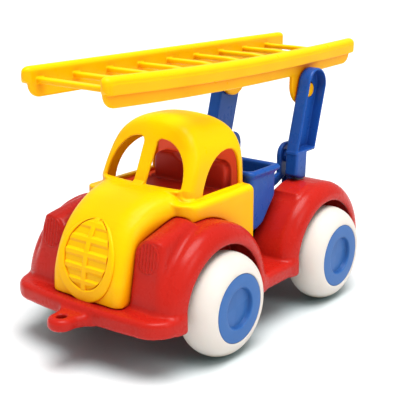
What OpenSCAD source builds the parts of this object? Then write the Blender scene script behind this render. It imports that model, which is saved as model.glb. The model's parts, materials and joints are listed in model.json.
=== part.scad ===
// Toy fire engine: moulded chassis, cab, tub, folding arms and a tilting ladder.
// Origin: on the ground, on the centre plane, under the middle of the vehicle's whole length.
// The code measures Y from midway between the axles; placed() then moves it to the origin.
// -Y is the front of the vehicle, +X its left side, +Z is up.  Millimetres.

/* [Wheels] */
// Radius of a tyre at its tread
tyre_r = 35; // [34:0.5:36]
// Distance between the two axles
wheelbase = 127.5; // [126:0.5:130]
// Distance from the centre plane to a hub's outer face
wheel_out_x = 78.7; // [78:0.1:80]
// Width of a tyre
tyre_w = 29.7; // [28:0.1:30]
// Radius of the blue hub disc
hub_r = 23.2; // [22:0.1:24]
// Radius of the round recess in a hub
hub_recess_r = 13.9; // [12:0.1:15]
// Radius of a steel axle
axle_r = 2.5; // [2:0.1:3]

/* [Chassis] */
// Height of the underside of the chassis
skirt_z0 = 29; // [27:0.5:30]
// Height of the bumper and the running boards
skirt_z1 = 41; // [40:0.5:42]
// Half the width of the chassis
half_w = 67.6; // [67:0.1:69]
// Front of the bumper, on the centre plane
bumper_y = -133.5; // [-135:0.5:-132]
// Rear end of the chassis
tail_y = 117; // [116:0.5:120]
// Radius of a wheel arch at its outer edge
arch_r = 39.6; // [39:0.1:41]
// Radius of a mudguard at its crown
crown_r = 53; // [52:0.5:54]
// Distance from the centre plane to a mudguard's inner wall
guard_in_x = 34; // [33.8:0.1:35]
// Radius of the hole in the towing eye
tow_hole_r = 3.2; // [2.5:0.1:4]
// Thickness of the chassis walls
wall = 2.5; // [2:0.1:3]

/* [Cab] */
// Half the width of the bonnet
bonnet_half_w = 31; // [30:0.1:32]
// Front of the bonnet at its foot
nose_y = -125.4; // [-127:0.1:-124]
// Height of the bonnet at the windscreen
bonnet_z = 106.5; // [104:0.5:108]
// Half the width over the doors
door_half_w = 47.5; // [46:0.1:49]
// Height of the door tops
belt_z = 99.5; // [98:0.5:101]
// Back of the cab
cab_back_y = -4.5; // [-5:0.1:-4]
// Height of the roof
roof_z = 150.5; // [149:0.5:153]
// Thickness of the cab shell
cab_t = 2.5; // [2:0.1:3]

/* [Tub] */
// Half the width over the tub's rim
tub_half_w = 45; // [43:0.5:46]
// Height of the tub's rim
tub_z = 106.5; // [104:0.5:108]
// Back of the tub's rim
tub_back_y = 34.5; // [33:0.5:36]

/* [Arms] */
// Lean of the arms towards the rear, in degrees
arm_lean = 16; // [14:0.5:18]
// Width of an arm, seen from the side
arm_w = 25; // [22:0.5:26]
// Depth of an arm across the vehicle
arm_depth = 10.5; // [10:0.5:12]
// Distance from the centre plane to an arm's inner face
arm_in_x = 33.8; // [33.8:0.1:34.2]
// Where the arms fold, along Y
fold_y = 64.5; // [64:0.5:65]
// Where the arms fold, height
fold_z = 104; // [103.5:0.5:104.5]

/* [Ladder] */
// Where the ladder tilts, along Y
tilt_y = 82; // [81.5:0.5:82.5]
// Where the ladder tilts, height
tilt_z = 153; // [152.5:0.5:153.5]
// How far the ladder reaches ahead of its pivot
ladder_front = 220; // [215:1:225]
// How far the ladder reaches behind its pivot
ladder_rear = 66.5; // [64:0.5:70]
// Half the width over the caps of the side rails
rail_half_w = 37.5; // [36:0.1:38]
// Number of rungs
rungs = 9; // [7:1:10]
// Nose-up angle of the ladder at rest, in degrees
rest_tilt = 0.6; // [0:0.1:2]
// Radius of the moulded stub pins
stub_r = 5.9; // [5:0.1:6]

/* [Hidden] */
$fn = 96;

red = [0.86, 0.13, 0.11];
yellow = [0.98, 0.85, 0.02];
blue = [0.10, 0.27, 0.62];
hub_blue = [0.25, 0.45, 0.76];
cream = [0.95, 0.93, 0.89];
steel = [0.75, 0.76, 0.78];

// Clearances: between separate mouldings, and of a shaft in its running hole
gap = 0.3;
run = 0.06;
far = 400;

// From the origin back to midway between the axles
axles_mid_y = 3.5;
front_y = -wheelbase / 2;
rear_y = wheelbase / 2;
axle_end = wheel_out_x - 4.5;
boss_end = 44;
boss_r = 6.5;
skin = 2.6;
bulge_x = 56;
pod_in_x = 31.3;
pod_out_x = 56.5;
pod_top_z = 94;
screw_r = 1.5;
screw_head_r = 3;
screw_top_z = 53;

cab_screw_at = [[24, -117.5], [25, -11]];
tub_screw_at = [[18, 42], [18, 74]];

tub_front_y = -3.6;
tub_floor_z = 62;
tab_x0 = 24.5;
tab_x1 = 28.5;
tab_r = 9;
pin_r = 2.5;
post_foot_z = 88.6;
kink_z = 108;

// ---- helpers ----

// Extrude a (y, z) outline along X
module across(x0, x1) {
    translate([x0, 0, 0])
        rotate([90, 0, 90])
            linear_extrude(x1 - x0)
                children();
}

// Extrude an (x, z) outline along Y
module along(y0, y1) {
    translate([0, y1, 0])
        rotate([90, 0, 0])
            linear_extrude(y1 - y0)
                children();
}

// Extrude an (x, y) outline along Z
module upward(z0, z1) {
    translate([0, 0, z0])
        linear_extrude(z1 - z0)
            children();
}

module both_sides() {
    children();
    mirror([1, 0, 0])
        children();
}

// Cylinder along X through (y, z)
module x_rod(x0, x1, y, z, r) {
    translate([x0, y, z])
        rotate([0, 90, 0])
            cylinder(h = x1 - x0, r = r);
}

// Spin an (r, x) outline about the axle line at y
module about_axle(y) {
    translate([0, y, tyre_r])
        rotate([0, 90, 0])
            rotate_extrude()
                children();
}

// Cubic curve from a to d, with b and c as its handles
function curve(a, b, c, d, n = 16) = [
    for (i = [0 : n])
        let (t = i / n, s = 1 - t)
            s*s*s * a + 3*s*s*t * b + 3*s*t*t * c + t*t*t * d
];

// Arc about c from angle a0 to a1
function arc(c, r, a0, a1, n = 8) = [
    for (i = [0 : n])
        let (a = a0 + (a1 - a0) * i / n)
            c + r * [cos(a), sin(a)]
];

function oval(c, rx, ry, n = 48) = [
    for (i = [0 : n - 1])
        c + [rx * cos(360 * i / n), ry * sin(360 * i / n)]
];

// ---- chassis ----

// Plan of the chassis: bowed bumper, round front corners, square tail
bow = 840;
corner_r = 20;
tail_r = 28;
bow_x = half_w - corner_r;
corner_y = bumper_y + bow_x * bow_x / bow + corner_r;
function bumper_edge(x, inset) = [x, bumper_y + inset + x * x / bow];
function plan_points(i) = concat(
    [for (k = [-8 : 8]) bumper_edge(k * bow_x / 8, i)],
    arc([bow_x, corner_y], corner_r - i, -80, 0),
    arc([half_w - tail_r, tail_y - tail_r], tail_r - i, 0, 90),
    arc([tail_r - half_w, tail_y - tail_r], tail_r - i, 90, 180),
    arc([-bow_x, corner_y], corner_r - i, 180, 260)
);

module skirt() {
    difference() {
        upward(skirt_z0, skirt_z1)
            polygon(plan_points(0));
        upward(skirt_z0 - 1, skirt_z1 - wall)
            polygon(plan_points(wall));
        both_sides()
            for (y = [front_y, rear_y]) {
                x_rod(guard_in_x + wall, half_w - skin, y, tyre_r, crown_r - skin);
                x_rod(half_w - skin - 1, far, y, tyre_r, arch_r);
            }
    }
}

// A mudguard is a cup, open to the outside, with a bulging rim
lip = 1.4;
bulge_dx = half_w - bulge_x;
bulge_dr = crown_r - arch_r - lip;
guard_section = concat(
    [[boss_r - 1, guard_in_x], [crown_r, guard_in_x]],
    [for (a = [0 : 10 : 90]) [arch_r + lip + bulge_dr * cos(a), bulge_x + bulge_dx * sin(a)]],
    [[arch_r, half_w], [arch_r, half_w - skin]],
    [for (a = [90 : -10 : 0])
        [arch_r + lip + (bulge_dr - skin) * cos(a), bulge_x + (bulge_dx - skin) * sin(a)]],
    [[crown_r - skin, guard_in_x + wall], [boss_r - 1, guard_in_x + wall]]
);

module mudguard(y) {
    intersection() {
        about_axle(y)
            polygon(guard_section);
        translate([0, y - far / 2, skirt_z0])
            cube(far);
    }
    x_rod(guard_in_x - 4, boss_end, y, tyre_r, boss_r);
}

// Headlight pod: a flat sloping face in front, a ridge that climbs to the cab
pod_foot_y = -117.4;
pod_brow_y = -109.4;
pod_side = concat(
    [[pod_foot_y, skirt_z1 - 1], [pod_brow_y, 84]],
    curve([pod_brow_y, 84], [-105, 87.5], [-92, pod_top_z], [-83, pod_top_z]),
    curve([-83, pod_top_z], [-78, pod_top_z], [-76, 91], [-74.5, 86], 8),
    [[-74.5, 80], [-100, skirt_z1 - 1]]
);
pod_front = concat(
    [[pod_in_x, skirt_z1 - 1], [pod_out_x, skirt_z1 - 1], [54.6, 62]],
    curve([53.6, 70], [52.4, 84], [49, pod_top_z], [42.5, pod_top_z], 12),
    [[pod_in_x, pod_top_z - 2]]
);

lamp_z = 74.5;
lamp_x = 42.3;
lamp_rx = 8.6;
lamp_rz = 9.8;
lamp_proud = 0.7;
pod_slope = (pod_brow_y - pod_foot_y) / (84 - skirt_z1);

module pod() {
    intersection() {
        across(pod_in_x, half_w)
            polygon(pod_side);
        along(-far / 2, 0)
            polygon(pod_front);
    }
    // Lamp relief: an oval panel with upright flutes
    intersection() {
        along(-130, -100)
            difference() {
                polygon(oval([lamp_x, lamp_z], lamp_rx, lamp_rz));
                for (k = [-2 : 2])
                    translate([lamp_x + k * 3 - 0.4, lamp_z - 8])
                        square([0.8, 16]);
            }
        translate([0, -lamp_proud, 0])
            across(guard_in_x, half_w)
                polygon(pod_side);
    }
}

// Squared shoulder of the rear mudguard, ahead of the arms
shoulder_y = 38.5;
shoulder_z = 84;
module rear_shoulder() {
    across(guard_in_x, bulge_x)
        polygon([
            [shoulder_y - 6, 70], [shoulder_y - 2.2, 79.5], [shoulder_y, shoulder_z],
            [rear_y, tyre_r + crown_r - 1], [rear_y, 84.5], [rear_y - 12, 83]
        ]);
}

tow_y = -145.5;
tow_r = 9;
tow_z0 = 28.5;
tow_z1 = 37;
module towing_eye() {
    upward(tow_z0, tow_z1)
        union() {
            translate([0, tow_y])
                circle(tow_r);
            polygon([
                [-tow_r + 0.3, tow_y + 2], [-10.5, tow_y + 8], [-15, bumper_y + 3],
                [15, bumper_y + 3], [10.5, tow_y + 8], [tow_r - 0.3, tow_y + 2]
            ]);
        }
}

module screw_holes(places, r) {
    both_sides()
        for (p = places)
            translate([p[0], p[1], skirt_z0])
                cylinder(h = skirt_z1 - skirt_z0 + 1, r = r, $fn = 32);
}

module chassis() {
    color(red)
        difference() {
            union() {
                skirt();
                both_sides() {
                    mudguard(front_y);
                    mudguard(rear_y);
                    pod();
                    rear_shoulder();
                }
                towing_eye();
            }
            for (y = [front_y, rear_y])
                x_rod(-far / 2, far / 2, y, tyre_r, axle_r + run);
            translate([0, tow_y, 0])
                cylinder(h = 60, r = tow_hole_r);
            screw_holes(concat(cab_screw_at, tub_screw_at), screw_r + 0.3);
        }
}

// ---- cab ----

nose_r = 8;
brow_r = 15;
cab_foot_z = skirt_z1 + gap;

// Bonnet, pulled in by t on every outer face
module bonnet(t) {
    side = concat(
        curve([nose_y + t, cab_foot_z - 1], [nose_y + t, 66], [-120 + t, 106 - t],
              [-70, bonnet_z - t]),
        [[-60, bonnet_z - t], [-60, cab_foot_z - 1]]
    );
    w = bonnet_half_w - t;
    y0 = nose_y + t;
    intersection() {
        across(-w, w)
            polygon(side);
        along(-far / 2, 0)
            polygon(concat(
                [[-w, 0], [w, 0]],
                arc([w - brow_r, bonnet_z - t - brow_r], brow_r, 0, 90),
                arc([brow_r - w, bonnet_z - t - brow_r], brow_r, 90, 180)
            ));
        upward(0, far)
            polygon(concat(
                arc([nose_r - w, y0 + nose_r], nose_r, 180, 270),
                arc([w - nose_r, y0 + nose_r], nose_r, 270, 360),
                [[w, 0], [-w, 0]]
            ));
    }
}

cowl_y = -76.3;
cowl_r = 12;
belt_r = 5;
module door_block(t) {
    w = door_half_w - t;
    top = belt_z - t;
    intersection() {
        upward(cab_foot_z - 1, far)
            polygon(concat(
                arc([cowl_r - w, cowl_y + t + cowl_r], cowl_r, 180, 270),
                arc([w - cowl_r, cowl_y + t + cowl_r], cowl_r, 270, 360),
                [[w, cab_back_y - t], [-w, cab_back_y - t]]
            ));
        along(-far / 2, 0)
            polygon(concat(
                [[-w, 0], [w, 0]],
                arc([w - belt_r, top - belt_r], belt_r, 0, 90),
                arc([belt_r - w, top - belt_r], belt_r, 90, 180)
            ));
    }
}

glass_half_w = 39.5;
glass_rise = 2.7;
module greenhouse(t) {
    top = roof_z - t;
    back = cab_back_y - t;
    h = top - belt_z;
    intersection() {
        across(-far / 2, far / 2)
            polygon(concat(
                [[-60, 60], [-72 + t, 92], [-71.6 + t, bonnet_z]],
                curve([-60 + t, 131], [-55 + t, 143], [-49, top - 1], [-38, top], 12),
                curve([-34, top], [-17, top - 1], [back, 141 - t], [back, 122], 12),
                [[back, 60]]
            ));
        along(-far / 2, 0)
            polygon(concat(
                [for (k = [0 : 20]) let (s = sin(90 * k / 20))
                    [(glass_half_w - t) * sqrt(1 - pow(s, glass_rise)), belt_z + h * s]],
                [for (k = [20 : -1 : 0]) let (s = sin(90 * k / 20))
                    [-(glass_half_w - t) * sqrt(1 - pow(s, glass_rise)), belt_z + h * s]],
                [[t - glass_half_w, 60], [glass_half_w - t, 60]]
            ));
    }
}

pillar_w = 9.5;
screen_z0 = 106.2;
module windows() {
    // Door windows: straight sill, arched top
    across(-far / 2, far / 2)
        polygon(concat(
            [[-52.6, 100.3], [-11.6, 100.3]],
            curve([-11.6, 100.3], [-11.6, 123], [-13, 126.3], [-23, 126], 10),
            curve([-23, 126], [-38, 125.5], [-50, 115], [-52.6, 100.3], 10)
        ));
    // Two-part windscreen
    both_sides()
        along(-far / 2, -40)
            polygon(concat(
                [[pillar_w / 2, screen_z0], [34.3, screen_z0]],
                curve([34.3, screen_z0], [34.3, 123], [22, 134.5], [9, 134.8], 10),
                [[pillar_w / 2 + 1.5, 133]]
            ));
    // Open back of the cab
    along(-20, 0)
        polygon(concat(
            [[-33, 101], [33, 101]],
            curve([33, 101], [34, 128], [24, 140], [0, 140], 10),
            curve([0, 140], [-24, 140], [-34, 128], [-33, 101], 10)
        ));
}

// Grille: an oval ring, one upright bar and pairs of slats
grille_z = 70;
grille_proud = 1.3;
module grille_lines() {
    difference() {
        polygon(oval([0, 66], 24.5, 26.5));
        polygon(oval([0, grille_z], 18.6, 21.8));
    }
    translate([-2, grille_z - 22])
        square([4, 44]);
    intersection() {
        polygon(oval([0, grille_z], 19, 22));
        for (k = [-2 : 1])
            translate([-20, grille_z + 8.6 * k + 4.3 - 0.9])
                square([40, 1.8]);
    }
}

module cab_shape(t) {
    bonnet(t);
    door_block(t);
    greenhouse(t);
}

module cab() {
    color(yellow)
        difference() {
            union() {
                difference() {
                    union() {
                        cab_shape(0);
                        intersection() {
                            bonnet(-grille_proud);
                            along(-far / 2, -95)
                                grille_lines();
                        }
                    }
                    cab_shape(cab_t);
                    windows();
                }
                // Screw posts
                both_sides()
                    for (p = cab_screw_at)
                        intersection() {
                            translate([p[0], p[1], 0])
                                cylinder(h = screw_top_z + 4, r = 5, $fn = 40);
                            cab_shape(0.4);
                        }
            }
            // Foot of the cab, and room for the mudguards and pods
            translate([-far / 2, -far / 2, cab_foot_z - far])
                cube(far);
            both_sides()
                x_rod(guard_in_x - gap, far, front_y, tyre_r, crown_r + gap);
            both_sides()
                intersection() {
                    across(pod_in_x - gap, far)
                        offset(delta = gap)
                            polygon(pod_side);
                    along(-far / 2, 0)
                        translate([-gap, gap])
                            polygon(pod_front);
                }
            both_sides()
                for (p = cab_screw_at)
                    translate([p[0], p[1], 0])
                        cylinder(h = screw_top_z, r = screw_r + 0.05, $fn = 32);
        }
}

// ---- cab interior ----

seat_z = 97;
seat_back_z = 115;
notch_r = 18;
notch_z = 128;
tray_z0 = skirt_z1 + tyre_r + 13;
module cab_interior() {
    fit = cab_t + gap;
    color(red)
        difference() {
            union() {
                // Tray with side walls up to the door tops
                intersection() {
                    door_block(fit);
                    translate([-far / 2, -66, tray_z0])
                        cube([far, 66, 20]);
                }
                // Back wall, shaped to the inside of the roof
                intersection() {
                    greenhouse(fit);
                    translate([-far / 2, -9.8, tray_z0])
                        cube([far, 3, far]);
                }
                // Seat back with round shoulders
                along(-19, -8)
                    polygon(concat(
                        [[-32, tray_z0 + 1], [32, tray_z0 + 1]],
                        arc([25, seat_back_z - 7], 7, 0, 90, 6),
                        arc([-25, seat_back_z - 7], 7, 90, 180, 6)
                    ));
                // Legs down to the chassis floor
                both_sides()
                    translate([16, -52, cab_foot_z])
                        cube([3, 40, tray_z0 - cab_foot_z + 1]);
            }
            // Hollow of the tray, with the seat left standing behind it
            translate([-42, -63, tray_z0 + 2])
                cube([84, 22, 20]);
            translate([-42, -42, seat_z])
                cube([84, 23, 20]);
            translate([0, 0, notch_z])
                rotate([90, 0, 0])
                    cylinder(h = 20, r = notch_r);
            translate([-notch_r, -15, notch_z])
                cube([2 * notch_r, 15, 30]);
        }
}

// ---- tub with its arm brackets ----

tub_wall = 2.5;
rim_h = 4.5;
rim_out = 2.5;
tub_body_back = tub_back_y - 4;

module tub_solid(t, top) {
    w = tub_half_w - rim_out - t;
    across(-w, w)
        polygon([
            [tub_front_y + 1 + t, tub_floor_z + t], [8, tub_floor_z + t],
            [15.5 - t, tub_floor_z + 3 + t], [tub_body_back - t, 83], [tub_body_back - t, top],
            [tub_front_y + 1 + t, top]
        ]);
}

module rim_plan(inset) {
    r = 4 - min(inset, 3);
    x = tub_half_w - inset - r;
    y0 = tub_front_y + inset + r;
    y1 = tub_back_y - inset - r;
    polygon(concat(
        arc([x, y0], r, -90, 0, 6),
        arc([x, y1], r, 0, 90, 6),
        arc([-x, y1], r, 90, 180, 6),
        arc([-x, y0], r, 180, 270, 6)
    ));
}

// Bracket plate: a base, an upright with a round-topped hinge tab, and a strut
base_z = skirt_z1 + gap;
tab_back_y = 80;
module bracket_plate() {
    difference() {
        union() {
            translate([fold_y + 1, fold_z + 1])
                circle(tab_r);
            translate([tab_back_y - tab_r, fold_z + 1])
                circle(tab_r);
            translate([fold_y + 1, fold_z - 10])
                square([tab_back_y - tab_r - fold_y - 1, 11 + tab_r]);
            polygon([
                [tub_body_back - 1, base_z], [tab_back_y, base_z], [tab_back_y, fold_z + 1],
                [fold_y - tab_r + 1, fold_z + 1], [fold_y - tab_r + 1, 92],
                [tub_body_back - 1, 86]
            ]);
        }
        // Window under the strut
        polygon([
            [tub_body_back + 3, 52], [tab_back_y - 16, 52], [tab_back_y - 16, 88],
            [tab_back_y - 27, 83.5], [tub_body_back + 3, 78]
        ]);
    }
}

module tub() {
    color(blue)
        difference() {
            union() {
                difference() {
                    union() {
                        tub_solid(0, tub_z - 1);
                        upward(tub_z - rim_h, tub_z)
                            rim_plan(0);
                    }
                    tub_solid(tub_wall, tub_z + 5);
                }
                both_sides()
                    across(tab_x0, tab_x1)
                        bracket_plate();
                // Base plate and its screw bosses
                translate([-tab_x1, tub_front_y + 6, base_z])
                    cube([2 * tab_x1, tab_back_y - tub_front_y - 6, 3]);
                both_sides() {
                    for (p = tub_screw_at)
                        translate([p[0], p[1], base_z])
                            cylinder(h = screw_top_z + 1 - base_z, r = 4.5, $fn = 40);
                    translate([tab_x0, tub_front_y + 6, base_z])
                        cube([tab_x1 - tab_x0, 24, tub_floor_z - base_z + 1]);
                }
            }
            both_sides() {
                x_rod(guard_in_x - gap, far, rear_y, tyre_r, crown_r + gap);
                x_rod(tab_x0 - 1, tab_x1 + 1, fold_y, fold_z, pin_r + 0.02);
                for (p = tub_screw_at)
                    translate([p[0], p[1], base_z - 1])
                        cylinder(h = screw_top_z - base_z, r = screw_r + 0.05, $fn = 32);
            }
        }
}

// ---- arms ----

arm_top = [tilt_y - 0.85, tilt_z + 4];
lean = [sin(arm_lean), cos(arm_lean)];
square_on = [cos(arm_lean), -sin(arm_lean)];
arm_out_x = arm_in_x + arm_depth;
post_w = 14.5;

// Point on an arm: d across it from its axis, at height z
function on_arm(d, z) = let (p = arm_top + d * square_on)
    [p[0] - (p[1] - z) * lean[0] / lean[1], z];

// Side view of an arm, pulled in by t
module arm_side(t, foot_z) {
    h = arm_w / 2 - t;
    translate(arm_top)
        circle(h);
    polygon([
        arm_top - h * square_on, arm_top + h * square_on,
        on_arm(h, foot_z), on_arm(-h, foot_z)
    ]);
}

// Short post below the kink; its foot is round, to swing over the mudguard
module post_side() {
    front = on_arm(-arm_w / 2, kink_z + 2)[0];
    intersection() {
        polygon([
            [front, kink_z + 2], [front + post_w, kink_z + 2],
            [front + post_w - 1, post_foot_z], [front - 1, post_foot_z]
        ]);
        union() {
            translate([fold_y, fold_z])
                circle(fold_z - post_foot_z);
            translate([fold_y - 30, fold_z])
                square(60);
        }
    }
}

module arm() {
    color(blue)
        difference() {
            union() {
                across(arm_in_x, arm_out_x) {
                    arm_side(0, kink_z);
                    post_side();
                }
                // Boss that spaces the arm from the hinge tab
                x_rod(tab_x1 + 0.25, arm_in_x + 1, fold_y, fold_z, 4.8);
            }
            // Channel, open to the outside
            across(arm_in_x + 3, arm_out_x + 1)
                arm_side(skin, kink_z + 3);
            x_rod(arm_in_x - 1, arm_out_x, tilt_y, tilt_z, stub_r + run);
            x_rod(tab_x0, arm_out_x - 3, fold_y, fold_z, pin_r + run);
        }
}

module left_arm() {
    arm();
}

module right_arm() {
    mirror([1, 0, 0])
        arm();
}

// Hinge pin with a head on the inner side of the tab
module arm_pin() {
    color(steel) {
        x_rod(tab_x0 - 0.1, arm_out_x - 3.6, fold_y, fold_z, pin_r);
        x_rod(tab_x0 - 1.6, tab_x0 - 0.1, fold_y, fold_z, pin_r + 1.6);
    }
}

module left_arm_pin() {
    arm_pin();
}

module right_arm_pin() {
    mirror([1, 0, 0])
        arm_pin();
}

// ---- ladder ----

rail_in_x = 29.5;
web_x = 33.4;
rail_z0 = 13.7;
rail_lip_z = 22.2;
rail_z1 = 33.2;
rail_r = 8.5;
rung_z = 22.8;
rung_w = 6.5;
rung_h = 3.2;
ear_r = 15.8;
ear_y = -3.8;
ear_z = 4.6;

// Side view of a rail in the ladder's own frame: a bar with rounded ends, each end cut short
module rail_side(z0, z1, short = 0) {
    y0 = short - ladder_front + rail_r;
    y1 = ladder_rear - short - rail_r;
    intersection() {
        polygon(concat(
            arc([y0, rail_z0 + rail_r], rail_r, 180, 270),
            arc([y1, rail_z0 + rail_r], rail_r, 270, 360),
            arc([y1, rail_z1 - rail_r], rail_r, 0, 90),
            arc([y0, rail_z1 - rail_r], rail_r, 90, 180)
        ));
        translate([-ladder_front, z0])
            square([ladder_front + ladder_rear, z1 - z0]);
    }
}

cap_r = 3;
module rail() {
    intersection() {
        union() {
            across(rail_in_x, web_x)
                rail_side(rail_z0, rail_z1, 3);
            across(rail_in_x, rail_half_w)
                rail_side(rail_lip_z, rail_z1);
        }
        along(-far, far)
            polygon(concat(
                [[rail_in_x, rail_z0], [rail_half_w, rail_z0]],
                arc([rail_half_w - cap_r, rail_z1 - cap_r], cap_r, 0, 90),
                arc([rail_in_x + cap_r, rail_z1 - cap_r], cap_r, 90, 180)
            ));
    }
}

module ear() {
    across(rail_in_x + 0.5, web_x)
        union() {
            translate([ear_y, ear_z])
                circle(ear_r);
            translate([ear_y - ear_r, ear_z])
                square([2 * ear_r, rail_z0 + 1 - ear_z]);
        }
}

rung_first = 7.5 - ladder_front;
rung_pitch = 30.9;
module ladder() {
    color(yellow)
        translate([0, tilt_y, tilt_z])
            rotate([-rest_tilt, 0, 0]) {
                both_sides() {
                    rail();
                    ear();
                    x_rod(web_x - 1, arm_in_x + 2.9, 0, 0, stub_r);
                }
                for (k = [0 : rungs - 1])
                    translate([-rail_in_x - 0.5, rung_first + k * rung_pitch, rung_z])
                        cube([2 * rail_in_x + 1, rung_w, rung_h]);
            }
}

// ---- wheels ----

module axle(y) {
    color(steel)
        x_rod(-axle_end, axle_end, y, tyre_r, axle_r);
}

module front_axle() {
    axle(front_y);
}

module rear_axle() {
    axle(rear_y);
}

barrel_r = 17;
disc_t = 3.2;
mid_x = wheel_out_x - tyre_w / 2;
shoulder_r = hub_r + 0.3;
disc_gap = 0.1;

// Round-shouldered tyre with a seat for the hub disc
tyre_section = concat(
    [[barrel_r + disc_gap, wheel_out_x - tyre_w + 2.5],
     [barrel_r + 3, wheel_out_x - tyre_w + 0.6]],
    [for (a = [-90 : 7.5 : 90])
        [shoulder_r + (tyre_r - shoulder_r) * cos(a), mid_x + (tyre_w / 2) * sin(a)]],
    [[hub_r + disc_gap, wheel_out_x], [hub_r + disc_gap, wheel_out_x - disc_t - disc_gap],
     [barrel_r + disc_gap, wheel_out_x - disc_t - disc_gap]]
);

module tyre(y) {
    color(cream)
        about_axle(y)
            polygon(tyre_section);
}

module front_left_tyre() {
    tyre(front_y);
}

module front_right_tyre() {
    mirror([1, 0, 0])
        tyre(front_y);
}

module rear_left_tyre() {
    tyre(rear_y);
}

module rear_right_tyre() {
    mirror([1, 0, 0])
        tyre(rear_y);
}

recess_depth = 3;
hub_in_x = wheel_out_x - tyre_w + 2.5;
hub_section = [
    [0, axle_end + 0.3], [0, wheel_out_x - recess_depth],
    [hub_recess_r, wheel_out_x - recess_depth], [hub_recess_r, wheel_out_x],
    [hub_r - 0.6, wheel_out_x], [hub_r, wheel_out_x - 0.6],
    [hub_r, wheel_out_x - disc_t], [barrel_r, wheel_out_x - disc_t],
    [barrel_r, hub_in_x], [barrel_r - 3, hub_in_x],
    [barrel_r - 3, wheel_out_x - disc_t - 3], [boss_r, wheel_out_x - disc_t - 3],
    [boss_r, boss_end + 0.6], [axle_r + 0.02, boss_end + 0.6],
    [axle_r + 0.02, axle_end + 0.3]
];

module hub(y) {
    color(hub_blue)
        about_axle(y)
            polygon(hub_section);
}

module front_left_hub() {
    hub(front_y);
}

module front_right_hub() {
    mirror([1, 0, 0])
        hub(front_y);
}

module rear_left_hub() {
    hub(rear_y);
}

module rear_right_hub() {
    mirror([1, 0, 0])
        hub(rear_y);
}

// ---- screws ----

screw_head_h = 1.8;
module screws(places, top) {
    head_z = skirt_z1 - wall - screw_head_h - 0.05;
    color(steel)
        both_sides()
            for (p = places)
                translate([p[0], p[1], head_z])
                    difference() {
                        union() {
                            cylinder(h = screw_head_h, r = screw_head_r, $fn = 32);
                            cylinder(h = top - head_z, r = screw_r, $fn = 32);
                        }
                        for (a = [0, 90])
                            rotate([0, 0, a])
                                translate([-2, -0.35, -1])
                                    cube([4, 0.7, 1.9]);
                    }
}

module cab_screws() {
    screws(cab_screw_at, screw_top_z - 1);
}

module tub_screws() {
    screws(tub_screw_at, screw_top_z - 3);
}

module placed() {
    translate([0, axles_mid_y, 0])
        children();
}

placed() chassis();
placed() cab();
placed() cab_interior();
placed() tub();
placed() left_arm();
placed() right_arm();
placed() left_arm_pin();
placed() right_arm_pin();
placed() ladder();
placed() front_axle();
placed() rear_axle();
placed() front_left_tyre();
placed() front_right_tyre();
placed() rear_left_tyre();
placed() rear_right_tyre();
placed() front_left_hub();
placed() front_right_hub();
placed() rear_left_hub();
placed() rear_right_hub();
placed() cab_screws();
placed() tub_screws();
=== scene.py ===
"""Looks of the toy fire engine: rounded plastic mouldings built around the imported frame."""
import json
import math

import bpy
import numpy as np
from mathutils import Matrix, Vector


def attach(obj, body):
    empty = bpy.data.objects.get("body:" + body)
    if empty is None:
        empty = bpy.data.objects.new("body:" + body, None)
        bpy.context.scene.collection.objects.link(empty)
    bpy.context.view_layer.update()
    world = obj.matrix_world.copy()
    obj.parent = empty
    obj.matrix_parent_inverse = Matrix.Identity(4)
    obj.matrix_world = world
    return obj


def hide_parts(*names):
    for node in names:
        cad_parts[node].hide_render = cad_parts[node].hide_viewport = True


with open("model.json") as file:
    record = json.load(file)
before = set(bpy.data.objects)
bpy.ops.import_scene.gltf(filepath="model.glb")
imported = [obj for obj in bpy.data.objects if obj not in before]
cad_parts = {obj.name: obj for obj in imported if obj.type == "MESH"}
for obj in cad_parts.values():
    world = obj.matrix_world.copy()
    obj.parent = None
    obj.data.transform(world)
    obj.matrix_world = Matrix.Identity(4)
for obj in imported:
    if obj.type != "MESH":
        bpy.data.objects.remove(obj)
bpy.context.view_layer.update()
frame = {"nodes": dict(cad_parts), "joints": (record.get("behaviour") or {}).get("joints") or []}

MM = 0.001
JOINTS = {joint["name"]: [v / MM for v in joint["pos_m"]] for joint in frame["joints"]}
# The outlines below measure Y, in mm, from midway between the axles; the frame's origin lies ahead
AXLES_MID = (JOINTS["front_wheels_roll"][1] + JOINTS["rear_wheels_roll"][1]) / 2


def pivot(joint):
    """(y, z) of a joint's axis, measured like the outlines."""
    _, y, z = JOINTS[joint]
    return y - AXLES_MID, z


# The wheels stand on the ground, so their axles are one radius up
FRONT_Y, WHEEL_R = pivot("front_wheels_roll")
REAR_Y, _ = pivot("rear_wheels_roll")
FOLD = pivot("left_arm_fold")
TILT = pivot("ladder_tilt")


# ---- shape fields: negative inside, in mm ----

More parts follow.
